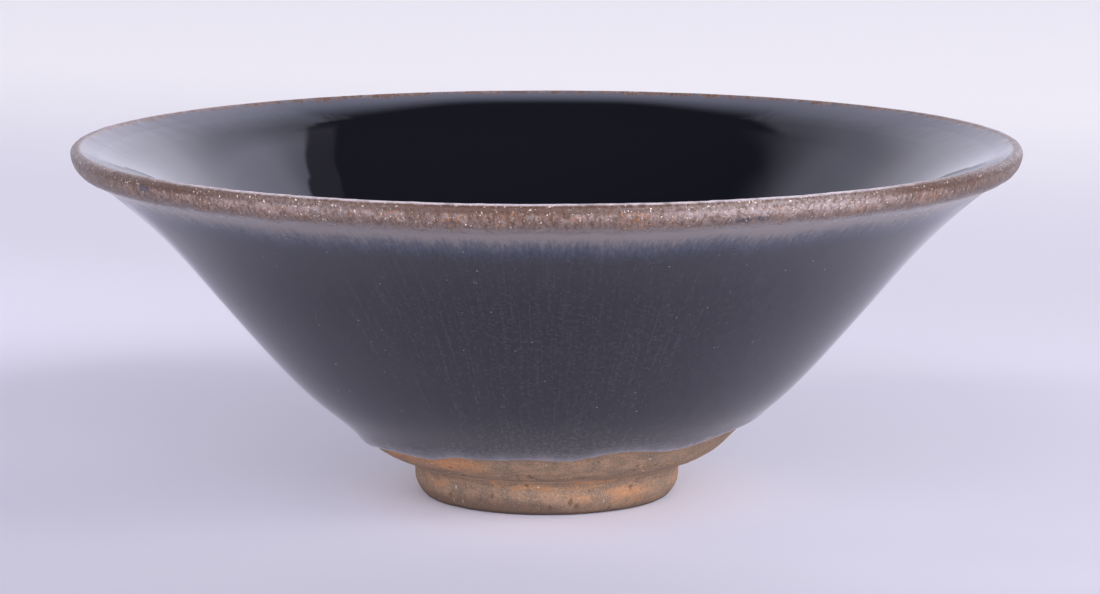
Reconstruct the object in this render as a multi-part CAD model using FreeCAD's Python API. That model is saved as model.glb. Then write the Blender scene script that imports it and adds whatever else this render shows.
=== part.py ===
import FreeCAD, Part
import math
import os

# A shallow conical tea bowl: a clay body on a turned foot, under three coats of glaze.
# Millimetres, +Z up. The origin is the middle of the foot, on the surface the bowl stands on.

# The bowl as a whole
mouth_diameter = 130.0
bowl_height = 49.0

# Foot
foot_diameter = 36.5
foot_height = 4.7
foot_edge_width = 1.3
foot_edge_height = 2.2
foot_rim_width = 4.2
recess_depth = 2.8
recess_draft = 0.7
recess_fillet = 0.9

# Clay wall and floor
wall_low = 5.0
wall_high = 3.1
floor_thickness = 6.6
well_diameter = 28.0
well_rise = 2.0

# Lip
roll_radius = 3.15
roll_start = math.radians(-66.0)
crest_radius = 0.95
crest_slope = math.radians(27.0)
lip_land = 3.0

# Glaze coats
coat_thickness = 0.45
well_pool = 1.0
hem_height = 10.1
hem_wander = 1.9
hem_round = 0.2
cut_overrun = 1.0

# The wall's outside, from the foot's shoulder to the lip, as (outward share, upward share)
wall_shares = [(0.062, 0.023), (0.128, 0.061), (0.192, 0.127), (0.297, 0.223), (0.466, 0.413),
               (0.614, 0.603), (0.766, 0.794), (0.890, 0.921), (0.962, 0.980)]

# Where the wall's inside is set off from the outside, as shares of the outside's length
inside_shares = [0.88, 0.73, 0.57, 0.41, 0.29]

# The well is a shallow dish, drawn from its edge to its middle, as shares of its radius
well_shares = [1.0, 0.65, 0.3, 0.0]

# The hem of the glaze, once round from the front, as (turn share, rise share)
hem_shares = [(0.000, -0.10), (0.033, 0.05), (0.058, 0.48), (0.092, 0.13), (0.125, 0.30),
              (0.150, 0.74), (0.210, 1.00), (0.290, 0.70), (0.390, 0.42), (0.460, 0.05),
              (0.530, 0.20), (0.610, -0.26), (0.690, -0.63), (0.750, -0.82), (0.800, -0.90),
              (0.867, -0.58), (0.903, -0.58), (0.922, -0.24), (0.958, -0.20)]

# How far the recess's corner and the foot's bevel stand out from straight, as shares of each
corner_share = 0.2
bevel_share = 0.07

# How many points carry a coat's surface along the clay
coat_points = 24

# The limit of the hem's rounding, as a share of the coat
hem_round_share = 0.6

mouth_radius = mouth_diameter / 2
foot_radius = foot_diameter / 2
recess_radius = foot_radius - foot_edge_width - foot_rim_width
well_radius = well_diameter / 2
well_height = recess_depth + floor_thickness


def at(radius, height):
    """A point of the section, by its distance from the axis and its height."""
    return FreeCAD.Vector(radius, 0, height)


def polar(centre, radius, angle):
    """A point at an angle round a centre in the section."""
    return centre + at(radius * math.cos(angle), radius * math.sin(angle))


def line(start, end):
    """A straight stretch of the section."""
    return Part.LineSegment(start, end).toShape()


def arc(centre, radius, start_angle, end_angle):
    """A round stretch of the section."""
    middle_angle = (start_angle + end_angle) / 2
    start = polar(centre, radius, start_angle)
    middle = polar(centre, radius, middle_angle)
    end = polar(centre, radius, end_angle)
    return Part.Arc(start, middle, end).toShape()


def smooth(points, first_tangent, last_tangent):
    """A smooth curve through the points, with its two end directions.

    The ends are run at the pace of the points between them, so that the curve doesn't ripple there.
    """
    start_way = FreeCAD.Vector(first_tangent).normalize()
    end_way = FreeCAD.Vector(last_tangent).normalize()
    curve = Part.BSplineCurve()
    curve.interpolate(Points=points, InitialTangent=start_way, FinalTangent=end_way, Scale=False)
    return curve


def place_on(curve, share):
    """Where a share of a curve's length lies on it."""
    return curve.parameterAtDistance(share * curve.length(), curve.FirstParameter)


def set_off(curve, share, distance):
    """A point at a distance to the right of a curve, at a share of its length."""
    where = place_on(curve, share)
    along = curve.tangent(where)[0]
    beside = at(along.z, -along.x)
    return curve.value(where) + beside * distance


def beside_curve(curve, first_share, first_distance, last_distance):
    """A curve that keeps to the right of another, from a share of its length to its end."""
    points = []
    for number in range(coat_points + 1):
        done = number / coat_points
        share = first_share + done * (1 - first_share)
        distance = first_distance + done * (last_distance - first_distance)
        points.append(set_off(curve, share, distance))
    first_tangent = curve.tangent(place_on(curve, first_share))[0]
    last_tangent = curve.tangent(curve.LastParameter)[0]
    return smooth(points, first_tangent, last_tangent)


def turned(edges):
    """The solid that a closed section makes as it turns on the wheel."""
    section = Part.Face(Part.Wire(Part.__sortEdges__(edges)))
    full_turn = math.degrees(math.tau)
    return section.revolve(FreeCAD.Vector(), FreeCAD.Vector(0, 0, 1), full_turn)


def roll_centre():
    """The middle of the lip's round underside."""
    return at(mouth_radius - roll_radius, bowl_height - crest_radius)


def crest_centre():
    """The middle of the tight curve over the lip's top."""
    return at(mouth_radius - crest_radius, bowl_height - crest_radius)


def lip_start(bare):
    """Where the wall meets the lip's underside, that far under the glaze's surface."""
    return polar(roll_centre(), roll_radius - bare, roll_start)


def lip_end(bare):
    """Where the lip's sloping land meets the inside, that far under the glaze's surface."""
    over = polar(crest_centre(), crest_radius - bare, math.pi / 2 + crest_slope)
    return over - at(lip_land * math.cos(crest_slope), lip_land * math.sin(crest_slope))


def lip_edges(bare):
    """The lip's outline, that far under the glaze's surface: a roll, a tight crest and a land."""
    over = polar(crest_centre(), crest_radius - bare, math.pi / 2 + crest_slope)
    return [arc(roll_centre(), roll_radius - bare, roll_start, 0),
            arc(crest_centre(), crest_radius - bare, 0, math.pi / 2 + crest_slope),
            line(over, lip_end(bare))]


def wall_outside():
    """The clay's outside, from the foot's shoulder to the underside of the lip."""
    shoulder = at(foot_radius, foot_height)
    lip = lip_start(coat_thickness)
    reach = lip - shoulder
    points = [shoulder]
    for outward, upward in wall_shares:
        points.append(shoulder + at(reach.x * outward, reach.z * upward))
    points.append(lip)
    first_tangent = points[1] - points[0]
    last_tangent = at(-math.sin(roll_start), math.cos(roll_start))
    return smooth(points, first_tangent, last_tangent)


def wall_inside():
    """The clay's inside, from the lip's land down to the middle of the well."""
    outside = wall_outside()
    points = [lip_end(coat_thickness)]
    for share in inside_shares:
        thickness = wall_low + share * (wall_high - wall_low)
        points.append(set_off(outside, share, -thickness))
    for share in well_shares:
        points.append(at(well_radius * share, well_height + well_rise * share ** 2))
    first_tangent = at(-math.cos(crest_slope), -math.sin(crest_slope))
    return smooth(points, first_tangent, at(-1, 0))


def make_clay_bowl():
    """The thrown wall and floor, flat underneath where the foot carries it."""
    inside = wall_inside()
    edges = [line(at(0, foot_height), at(foot_radius, foot_height)), wall_outside().toShape()]
    edges += lip_edges(coat_thickness)
    edges += [inside.toShape(), line(at(0, well_height), at(0, foot_height))]
    return turned(edges)


def make_turned_foot():
    """The foot, cut from the same clay: a low ring round a shallow recess."""
    side = at(foot_radius, foot_edge_height)
    outer_edge = at(foot_radius - foot_edge_width, 0)
    inner_edge = at(recess_radius, 0)
    fillet_side = at(recess_radius - recess_draft, recess_depth - recess_fillet)
    fillet_top = at(recess_radius - recess_draft - recess_fillet, recess_depth)
    corner_middle = (fillet_side + fillet_top) / 2 + at(recess_fillet, recess_fillet) * corner_share
    edge_middle = (side + outer_edge) / 2 + at(foot_edge_width, -foot_edge_width) * bevel_share
    edges = [line(at(0, foot_height), at(foot_radius, foot_height)),
             line(at(foot_radius, foot_height), side),
             Part.Arc(side, edge_middle, outer_edge).toShape(),
             line(outer_edge, inner_edge),
             line(inner_edge, fillet_side),
             Part.Arc(fillet_side, corner_middle, fillet_top).toShape(),
             line(fillet_top, at(0, recess_depth)),
             line(at(0, recess_depth), at(0, foot_height))]
    return turned(edges)


def share_at_height(curve, height):
    """The share of a rising curve's length at a height, found by halving."""
    low_share = 0.0
    high_share = 1.0
    while high_share - low_share > Part.Precision.confusion():
        middle_share = (low_share + high_share) / 2
        if curve.value(place_on(curve, middle_share)).z < height:
            low_share = middle_share
        else:
            high_share = middle_share
    return low_share


def hem_line(outside, distance):
    """The hem once round the bowl, at a distance from the clay."""
    points = []
    for turn, rise in hem_shares:
        share = share_at_height(outside, hem_height + rise * hem_wander)
        place = set_off(outside, share, distance)
        angle = turn * math.tau
        points.append(FreeCAD.Vector(place.x * math.sin(angle), -place.x * math.cos(angle), place.z))
    curve = Part.BSplineCurve()
    curve.interpolate(Points=points, PeriodicFlag=True)
    return curve.toShape()


def below_hem(outside):
    """Everything near the wall that lies below the hem, where the clay stays bare."""
    inner = hem_line(outside, -foot_radius)
    outer = hem_line(outside, cut_overrun + coat_thickness)
    return Part.makeRuledSurface(inner, outer).extrude(FreeCAD.Vector(0, 0, -bowl_height))


def hem_edges(coat, outside):
    """The sharp edges of a cut coat that stand off the clay, all along its hem."""
    edges = []
    for edge in coat.Edges:
        middle = edge.valueAt((edge.FirstParameter + edge.LastParameter) / 2)
        clay = outside.value(place_on(outside, share_at_height(outside, middle.z)))
        stands_off = math.hypot(middle.x, middle.y) - clay.x > coat_thickness
        if stands_off and middle.z < hem_height + 2 * hem_wander:
            edges.append(edge)
    return edges


def make_outer_glaze():
    """The black coat outside, which stops at a wandering hem above the foot."""
    outside = wall_outside()
    lowest = hem_height - hem_wander - cut_overrun
    first_share = share_at_height(outside, lowest)
    first = outside.value(place_on(outside, first_share))
    clay = outside.toShape(place_on(outside, first_share), outside.LastParameter)
    surface = beside_curve(outside, first_share, coat_thickness, coat_thickness)
    lip = outside.value(outside.LastParameter)
    edges = [clay, surface.toShape(), line(first, surface.value(surface.FirstParameter)),
             line(lip, surface.value(surface.LastParameter))]
    coat = turned(edges).cut(below_hem(outside)).Solids[0]
    rounding = min(hem_round, hem_round_share * coat_thickness)
    return coat.makeFillet(rounding, hem_edges(coat, outside))


def make_inner_glaze():
    """The black coat inside, which pools a little thicker in the well."""
    inside = wall_inside()
    surface = beside_curve(inside, 0, coat_thickness, well_pool)
    lip = inside.value(inside.FirstParameter)
    middle = inside.value(inside.LastParameter)
    edges = [inside.toShape(), surface.toShape(), line(lip, surface.value(surface.FirstParameter)),
             line(middle, surface.value(surface.LastParameter))]
    return turned(edges)


def make_lip_glaze():
    """The rust-brown coat over the lip, where the glaze ran thin in the kiln."""
    edges = lip_edges(coat_thickness) + lip_edges(0)
    edges.append(line(lip_start(coat_thickness), lip_start(0)))
    edges.append(line(lip_end(coat_thickness), lip_end(0)))
    return turned(edges)


def main():
    os.makedirs("parts", exist_ok=True)
    pieces = {
        "clay_bowl": make_clay_bowl(),
        "turned_foot": make_turned_foot(),
        "outer_glaze": make_outer_glaze(),
        "inner_glaze": make_inner_glaze(),
        "lip_glaze": make_lip_glaze(),
    }
    for name, shape in pieces.items():
        shape.exportStep(os.path.join("parts", name + ".step"))
        print(name, "solids", len(shape.Solids), "valid", shape.isValid(), "volume", round(shape.Volume, 1))


main()
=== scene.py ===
# %% [markdown]
# # A tenmoku tea bowl
# The real bowl is thrown in iron-rich stoneware, turned to a small foot, and dipped in a black
# glaze that stops in a wandering hem above the foot. On the lip it runs thin and fires to a rust
# brown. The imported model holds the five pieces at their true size. This lesson rebuilds the
# surface of each one with the unevenness that a hand and a kiln leave, and dresses it.

# %% Load the frame
import math
import random
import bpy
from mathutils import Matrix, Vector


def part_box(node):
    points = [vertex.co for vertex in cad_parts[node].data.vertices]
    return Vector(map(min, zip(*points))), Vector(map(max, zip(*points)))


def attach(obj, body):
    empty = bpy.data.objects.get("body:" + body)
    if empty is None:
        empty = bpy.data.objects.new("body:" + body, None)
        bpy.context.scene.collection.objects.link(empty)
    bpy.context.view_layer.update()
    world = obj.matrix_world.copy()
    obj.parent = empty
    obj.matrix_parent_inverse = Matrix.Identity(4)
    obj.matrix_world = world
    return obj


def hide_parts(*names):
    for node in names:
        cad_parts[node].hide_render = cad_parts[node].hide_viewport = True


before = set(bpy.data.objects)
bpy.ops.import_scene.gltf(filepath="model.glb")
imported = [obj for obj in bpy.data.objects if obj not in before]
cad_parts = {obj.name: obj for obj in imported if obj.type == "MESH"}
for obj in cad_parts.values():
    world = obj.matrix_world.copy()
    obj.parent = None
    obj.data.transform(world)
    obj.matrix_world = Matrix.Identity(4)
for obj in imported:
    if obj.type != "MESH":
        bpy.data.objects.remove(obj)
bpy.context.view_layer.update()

from types import SimpleNamespace

import bpy
import numpy as np
from mathutils import Vector, noise

MM = 0.001

# %% [markdown]
# ## Camera
# The bowl is seen from the front and a little above, from about half a metre away. Its far lip,
# near lip and foot fix how far down the camera looks, and the width of its mouth fixes the lens.

# %% Place the camera
camera_back = 540 * MM
camera_high = 114.2 * MM
camera_aside = 0.45 * MM
camera_tilt = math.radians(9.16)
sensor_width = 36.0
focal_share = 3.604

bpy.context.scene.view_settings.view_transform = "Standard"
camera_data = bpy.data.cameras.new("camera")
camera_data.sensor_width = sensor_width
camera_data.lens = sensor_width * focal_share
camera_data.clip_start = 10 * MM
camera = bpy.data.objects.new("camera", camera_data)
camera.location = (camera_aside, -camera_back, camera_high)
camera.rotation_euler = (math.radians(90) - camera_tilt, 0, 0)
bpy.context.scene.collection.objects.link(camera)
bpy.context.scene.camera = camera
print("lens", round(camera_data.lens, 1), "mm, looking down", round(math.degrees(camera_tilt), 2), "degrees")

# %% [markdown]
# ## Helpers for finishes
# Every finish is a small tree of nodes. Short helpers add a node, do a sum, ease a value or mix
# two colours in the tree that was begun last, so each finish further down reads like a recipe.

# %% Add, sum, ease and blend
work = SimpleNamespace(tree=None)


def begin(owner):
    """Empties the tree of a material or a world, and works on it from now on."""
    owner.use_nodes = True
    work.tree = owner.node_tree
    work.tree.nodes.clear()


def add(kind, **settings):
    """Adds one node and sets its own options."""
    made = work.tree.nodes.new(kind)
    for option, value in settings.items():
        setattr(made, option, value)
    return made


def give(entry, value):
    """Links a socket to a node's entry, or sets a plain value there."""
    if isinstance(value, bpy.types.NodeSocket):
        work.tree.links.new(value, entry)
    elif value is not None:
        entry.default_value = value


def feed(made, *given):
    """Gives a node its inputs in order, each a socket or a plain value."""
    for entry, value in zip(made.inputs, given):
        give(entry, value)
    return made.outputs[0]


def sums(how, *given):
    """A sum on sockets and plain numbers."""
    return feed(add("ShaderNodeMath", operation=how), *given)


def vectors(how, *given):
    """A sum on vectors."""
    return feed(add("ShaderNodeVectorMath", operation=how), *given)


def ramp(value, low, high, to_low=0.0, to_high=1.0):
    """Turns a value that runs from low to high into one that eases from to_low to to_high."""
    made = add("ShaderNodeMapRange", interpolation_type="SMOOTHSTEP")
    return feed(made, value, low, high, to_low, to_high)


def blend(share, first, second):
    """Mixes two colours, each a socket or a plain (r, g, b), by a share."""
    made = add("ShaderNodeMix", data_type="RGBA", clamp_factor=True)
    for place, value in zip((0, 6, 7), (share, first, second)):
        give(made.inputs[place], (*value, 1.0) if isinstance(value, tuple) else value)
    return made.outputs[2]


def layered(colour, *layers):
    """Colours over one another. Each: the value it follows, from where to where, its shares, itself."""
    for *steps, over in layers:
        colour = blend(ramp(*steps), colour, over)
    return colour


def times(first, *others):
    """Shares multiplied: what is left where all of them hold."""
    for other in others:
        first = sums("MULTIPLY", first, other)
    return first


def add_part(value, factor, rest):
    """A value times a factor, on top of the rest."""
    return sums("MULTIPLY_ADD", value, factor, rest)


def weighed(first, weight, second):
    """The first value by its weight, and the second by what is left."""
    return add_part(first, weight, sums("MULTIPLY", second, 1 - weight))


def between(share, first, second):
    """Runs from the first value to the second by a share."""
    return add_part(share, sums("SUBTRACT", second, first), first)


def joined(x, y, z):
    """A vector from its three parts."""
    return feed(add("ShaderNodeCombineXYZ"), x, y, z)


def parted(vector):
    """The three parts of a vector."""
    made = add("ShaderNodeSeparateXYZ")
    feed(made, vector)
    return made.outputs


print("sums ready")

# %% [markdown]
# Each finish strews clouds and grains over the bowl and ends in a little relief, all in mm.

# %% Clouds, grains, marks and relief
def scaled(vector, factor):
    """A vector times a number."""
    made = vectors("SCALE", vector)
    give(made.node.inputs["Scale"], factor)
    return made


def in_mm():
    """The place on the bowl in mm."""
    return scaled(add("ShaderNodeTexCoord").outputs["Object"], 1 / MM)


def mark_of(name):
    """A mark that the piece carries at every point."""
    return add("ShaderNodeAttribute", attribute_name=name).outputs["Fac"]


def cloud(place, size, detail=2.0, rough=0.5, shift=0.0):
    """Soft unevenness from 0 to 1, with clouds that many mm across."""
    made = add("ShaderNodeTexNoise")
    moved = vectors("ADD", place, (shift * size,) * 3) if shift else place
    feed(made, moved, None, 1 / size, detail, rough)
    return made.outputs[0]


def strewn(place, size):
    """Points that many mm apart: how far the nearest is, and three chances of its own."""
    made = add("ShaderNodeTexVoronoi")
    feed(made, place, None, 1 / size)
    chances = add("ShaderNodeSeparateColor")
    give(chances.inputs[0], made.outputs["Color"])
    return made.outputs["Distance"], *chances.outputs


def emboss(relief, shader):
    """Lets the light see a relief in mm that is too fine for the mesh."""
    bump = add("ShaderNodeBump")
    give(bump.inputs["Distance"], MM)
    give(bump.inputs["Height"], relief)
    give(shader.inputs["Normal"], bump.outputs[0])


def finish(name):
    """A new material that is begun: (material, the surface's shader)."""
    material = bpy.data.materials.new(name)
    begin(material)
    shader = add("ShaderNodeBsdfPrincipled")
    give(add("ShaderNodeOutputMaterial").inputs["Surface"], shader.outputs[0])
    return material, shader


print("finishing helpers ready")

# %% [markdown]
# ## Light
# A glossy black glaze shows its surroundings more than its own colour. Pale walls stand all
# round up to about fifty degrees, and the ceiling is dark. The middle of the far inside mirrors
# that ceiling, so it is nearly black, and the sides mirror the walls. Low down, the pale floor
# lights the bowl.

# %% Make the pale walls glow
high_tint = (1.0, 1.0, 1.28)
low_tint = (1.0, 0.985, 1.19)
# how strongly the walls glow at each compass turn from the back, in degrees, high up and low down
high_glow = {-180: 2.8, -150: 2.5, -120: 1.8, -90: 1.3, -55: 1.14, -37: 1.0, -26: 0.80, -14: 0.64, 4: 0.70, 14: 0.85,
             24: 1.20, 33: 1.60, 45: 1.78, 60: 1.88, 75: 1.0, 105: 2.1, 138: 4.5, 165: 3.7, 180: 2.8}
low_glow = {-180: 2.8, -150: 2.5, -120: 1.8, -90: 1.15, -60: 0.9, -30: 1.24, -10: 1.10, -2: 1.10, 6: 1.38, 20: 1.74,
            35: 1.90, 60: 1.0, 75: 0.80, 105: 1.6, 138: 4.5, 165: 3.7, 180: 2.8}
low_to_high = (21.0, 37.0)
brightest = 4.6

world = bpy.data.worlds.new("studio")
bpy.context.scene.world = world
begin(world)
sky_right, sky_back, sky_up = parted(add("ShaderNodeTexCoord").outputs["Generated"])
turned = sums("DEGREES", sums("ARCTAN2", sky_right, sky_back))
risen = sums("DEGREES", sums("ARCSINE", sky_up))


def glow_round(glow, tint):
    """How the walls glow by the compass turn from the back, as one colour ramp."""
    band = add("ShaderNodeValToRGB")
    give(band.inputs[0], add_part(turned, 1 / 360, 0.5))
    while len(band.color_ramp.elements) < len(glow):
        band.color_ramp.elements.new(0.5)
    for stop, (turn, strength) in zip(band.color_ramp.elements, sorted(glow.items())):
        stop.position = turn / 360 + 0.5
        stop.color = (*(strength / brightest * part for part in tint), 1.0)
    return band.outputs[0]


walls = blend(ramp(risen, *low_to_high), glow_round(low_glow, low_tint), glow_round(high_glow, high_tint))
print("the walls glow from", min(high_glow.values()), "to", max(high_glow.values()))

# %% [markdown]
# On the left the wall fades away softly at its top, at the back it ends more sharply, and on the
# right it is a panel with a crisp edge and a dim rail above it. Each top is an arch that sags to
# either side of one compass turn. All of it is in degrees from the bowl.

# %% End the walls and darken the ceiling
# each arch: the compass turn of its middle, its top, how fast it sags, and its least height
left_arch = (-43.5, 51.4, 0.0080, 47.0)
back_arch = (-43.5, 52.2, 0.0062, 46.0)
panel_arch = (40.0, 51.65, 0.0105, 46.0)
rail_arch = (46.3, 56.9, 0.0085, 47.0)
# the compass turns over which one part of the walls gives way to the next
left_to_back = (-30.0, -17.0)
back_to_panel = (13.0, 22.0)
panel_end = (59.4, 60.8)
rail_end = (69.4, 70.8)
low_beside_panel = (38.5, 40.5)
rail_glow = (0.19, 0.18, 0.22)
ceiling_glow = (0.012, 0.012, 0.016)


def over_arch(middle, top, drop, least):
    """How far above an arch each part of the sky is."""
    aside = sums("SUBTRACT", turned, middle)
    arch = add_part(sums("MULTIPLY", aside, aside), -drop, top)
    return sums("SUBTRACT", risen, sums("MAXIMUM", arch, least))


over_back = over_arch(*back_arch)
left_gone = ramp(over_arch(*left_arch), -10.0, 8.0)
back_gone = weighed(ramp(over_back, -1.6, 1.2), 0.6, ramp(over_back, -10.0, -1.0))
soft = between(ramp(turned, *left_to_back), left_gone, back_gone)

over_panel = over_arch(*panel_arch)
beside_panel = times(ramp(turned, *panel_end), ramp(risen, *low_beside_panel))
past_panel = sums("MAXIMUM", ramp(over_panel, -0.5, 0.5), beside_panel)
crisp = weighed(past_panel, 0.62, ramp(over_panel, -9.0, -0.5))
crisp = sums("MAXIMUM", crisp, beside_panel)
on_right = ramp(turned, *back_to_panel)
gone = between(on_right, soft, crisp)

in_rail = times(ramp(over_arch(*rail_arch), -0.6, 0.6, 1.0, 0.0), ramp(turned, *rail_end, 1.0, 0.0))
dark, dim = (tuple(part / brightest for part in glow) for glow in (ceiling_glow, rail_glow))
above = blend(times(in_rail, on_right), dark, dim)
background = add("ShaderNodeBackground")
give(background.inputs["Strength"], brightest)
give(background.inputs["Color"], blend(gone, walls, above))
give(add("ShaderNodeOutputWorld").inputs[0], background.outputs[0])
print("the sky has", len(work.tree.nodes), "nodes")

# %% [markdown]
# ## Softboxes
# Two softboxes hang in front, one on each side, where the black glaze doesn't mirror them. They
# put a sheen on the rough lip and light the foot under the overhang. The right one is stronger,
# so the bowl's soft shadow falls to the left.

# %% Hang the softboxes
def hang_softbox(name, turn, rise, wide, high, away, power, tint):
    """An area lamp that faces the bowl, at a compass turn from the back and a rise above it."""
    lamp_data = bpy.data.lights.new(name, "AREA")
    lamp_data.shape = "RECTANGLE"
    lamp_data.size = wide
    lamp_data.size_y = high
    lamp_data.energy = power
    lamp_data.color = tint
    lamp = bpy.data.objects.new(name, lamp_data)
    way = Vector((math.sin(turn) * math.cos(rise), math.cos(turn) * math.cos(rise), math.sin(rise)))
    lamp.location = way * away
    lamp.rotation_euler = (-way).to_track_quat("-Z", "Y").to_euler()
    lamp.visible_camera = False
    bpy.context.scene.collection.objects.link(lamp)


hang_softbox("softbox_right", math.radians(124), math.radians(33), 0.50, 0.46, 1.3, 6.0, (1.0, 0.95, 0.90))
hang_softbox("softbox_left", math.radians(-108), math.radians(36), 0.22, 0.22, 1.4, 2.2, (1.0, 0.87, 0.70))
print(len(bpy.data.lights), "softboxes")

# %% [markdown]
# ## Floor
# The bowl stands on pale lilac paper that sweeps up behind it, so the floor gets lighter towards
# the back. A flat sheet paints that light with a gentle change of colour: lighter towards the
# back, lighter on the right, where more light falls, and paler in a band round the bowl, which
# lifts its shadow. Far out, where only the glaze and a low camera see it, it is one even tone.

# %% Lay the floor
floor_reach = 4.0
# painted light and shade: the floor's tones stand in for the light on the paper
floor_near = (0.565, 0.554, 0.596)
floor_middle = (0.705, 0.692, 0.730)
floor_beyond = (0.622, 0.610, 0.626)
floor_back = (0.800, 0.790, 0.728)
floor_slant = 0.4

paper, shader = finish("pale_paper")
floor_place = add("ShaderNodeTexCoord").outputs["Object"]
to_right, to_back, _ = parted(floor_place)
farther = add_part(to_right, floor_slant, to_back)
far_out = vectors("LENGTH", floor_place).node.outputs["Value"]
tone = layered(floor_near, (farther, -0.09, 0.01, floor_middle), (farther, 0.08, 0.22, floor_beyond),
               (farther, 0.25, 0.55, floor_back), (far_out, 0.8, 2.0, floor_back))
give(shader.inputs["Base Color"], tone)
give(shader.inputs["Roughness"], 0.75)
give(shader.inputs["Specular IOR Level"], 0.2)

floor_mesh = bpy.data.meshes.new("floor")
corners = [(-floor_reach, -floor_reach, 0), (floor_reach, -floor_reach, 0),
           (floor_reach, floor_reach, 0), (-floor_reach, floor_reach, 0)]
floor_mesh.from_pydata(corners, [], [(0, 1, 2, 3)])
floor = bpy.data.objects.new("floor", floor_mesh)
floor.data.materials.append(paper)
bpy.context.scene.collection.objects.link(floor)
print("floor", 2 * floor_reach, "m square")

# %% [markdown]
# ## The section of the clay
# Folding the points of the packed clay bowl round the axis gives its section back. The outside
# and the inside are each fitted with one smooth curve, because a mirror-like glaze would show
# the facets of a coarse one. The lip between them keeps its own points, in order.

# %% Read the clay's section
def folded(node):
    """A turned piece's points as radius, height and how far each faces upwards, in mm."""
    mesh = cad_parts[node].data
    places = np.array([vertex.co for vertex in mesh.vertices]) / MM
    upward = np.array([vertex.normal.z for vertex in mesh.vertices])
    return np.hypot(places[:, 0], places[:, 1]), places[:, 2], upward


def smooth_along(values, width):
    """Evens out a run of numbers over a number of steps, and keeps its two ends."""
    bell = np.exp(-0.5 * (np.arange(-3 * width, 3 * width + 1) / width) ** 2)
    padded = np.concatenate([2 * values[0] - values[3 * width:0:-1], values,
                             2 * values[-1] - values[-2:-3 * width - 2:-1]])
    return np.convolve(padded, bell / bell.sum(), mode="valid")


def softened(line, width):
    """The same line with its corners evened out over a number of steps."""
    return np.stack([smooth_along(line[:, side], width) for side in (0, 1)], axis=1)


def run_of(line):
    """How far along a line each of its points lies."""
    return np.concatenate([[0], np.cumsum(np.hypot(*np.diff(line, axis=0).T))])


def read_at(distance, run, line):
    """What a line says at a distance along it, as two values."""
    return [np.interp(distance, run, line[:, side]) for side in (0, 1)]


def evenly(line, gap):
    """The same line with points that are evenly spaced."""
    run = run_of(line)
    return np.stack(read_at(np.linspace(0, run[-1], int(run[-1] / gap) + 1), run, line), axis=1)


def in_order(radius, height, middle, gap):
    """Points of a section in order round a middle, without those that nearly meet."""
    order = np.argsort(np.arctan2(height - middle[1], radius - middle[0]))
    line = np.stack([radius[order], height[order]], axis=1)
    return line[np.concatenate([[True], np.hypot(*np.diff(line, axis=0).T) > gap])]


def outward_of(line, run):
    """The direction straight off a line, to its right, at each of its points."""
    way = np.gradient(line, run, axis=0)
    way /= np.hypot(way[:, 0], way[:, 1])[:, None]
    return np.stack([way[:, 1], -way[:, 0]], axis=1)


tiny = 0.002
fit_degree = 24
step = 0.05
mouth_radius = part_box("lip_glaze")[1].x / MM
bowl_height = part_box("lip_glaze")[1].z / MM
foot_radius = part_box("turned_foot")[1].x / MM
shoulder_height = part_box("clay_bowl")[0].z / MM
coat = mouth_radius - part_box("clay_bowl")[1].x / MM
lip_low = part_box("outer_glaze")[1].z / MM
lip_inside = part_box("inner_glaze")[1].x / MM
print("mouth", round(mouth_radius, 2), "height", round(bowl_height, 2), "coat", round(coat, 3),
      "lip from", round(lip_low, 2), "to the inside at", round(lip_inside, 2))


def clay_section():
    """The clay's section from the foot's shoulder, round the lip, to the middle of the well."""
    radius, height, upward = folded("clay_bowl")
    wall = (upward < -0.05) & (radius > foot_radius - tiny) & (height < lip_low + tiny)
    outside = np.polynomial.Chebyshev.fit(height[wall], radius[wall], fit_degree)
    bowl = (upward > 0.2) & (radius < lip_inside + tiny)
    both_sides = np.concatenate([radius[bowl], -radius[bowl]])
    inside = np.polynomial.Chebyshev.fit(both_sides, np.tile(height[bowl], 2), 2 * fit_degree)
    print("fits within", round(abs(outside(height[wall]) - radius[wall]).max(), 3), "and",
          round(abs(inside(radius[bowl]) - height[bowl]).max(), 3), "mm")

    up = np.linspace(shoulder_height, lip_low, 800)
    across = np.linspace(lip_inside, 0, 1200)
    low, high = np.array([outside(lip_low), lip_low]), np.array([lip_inside, inside(lip_inside)])
    chord = high - low
    beyond = (radius - low[0]) * chord[1] - (height - low[1]) * chord[0] > tiny
    lip = in_order(radius[beyond], height[beyond], (low + high) / 2, step / 2)
    return np.concatenate([np.stack([outside(up), up], axis=1), lip, np.stack([across, inside(across)], axis=1)])


def bridged(line, start, stop):
    """The same line with one soft curve between two of its points, in line with it at both."""
    share = np.linspace(0, 1, stop - start + 1)[:, None]
    reach = (stop - start) / 2
    leaving = (line[start + 1] - line[start - 1]) * reach
    arriving = (line[stop + 1] - line[stop - 1]) * reach
    curve = ((1 + 2 * share) * (1 - share) ** 2 * line[start] + share * (1 - share) ** 2 * leaving
             + share ** 2 * (3 - 2 * share) * line[stop] - share ** 2 * (1 - share) * arriving)
    return np.concatenate([line[:start], curve, line[stop + 1:]])


# the lip's own points meet the fitted inside past the crest, so one soft curve goes over the join
bridge_from, bridge_to = 2.2, 5.6
section = softened(evenly(clay_section(), step), 3)
highest = int(np.argmax(section[:, 1]))
section = bridged(section, highest + int(bridge_from / step), highest + int(bridge_to / step))
along = run_of(section)
outward = outward_of(section, along)
print("section", len(section), "points,", round(along[-1], 1), "mm long")

# %% [markdown]
# ## Going round
# Each piece is rows of points that go once round the bowl, as a thrown pot is. A row is a place
# along the section, and its lift off the clay can change from point to point, so the same
# helpers serve the smooth glaze, the rough lip and the gritty foot.

# %% Turn rows into a piece
def on_section(distance, lift=0.0):
    """Radius and height at a distance along the clay's section, lifted off the clay, in mm."""
    (radius, height), (out, up) = read_at(distance, along, section), read_at(distance, along, outward)
    return radius + lift * out, height + lift * up


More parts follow.
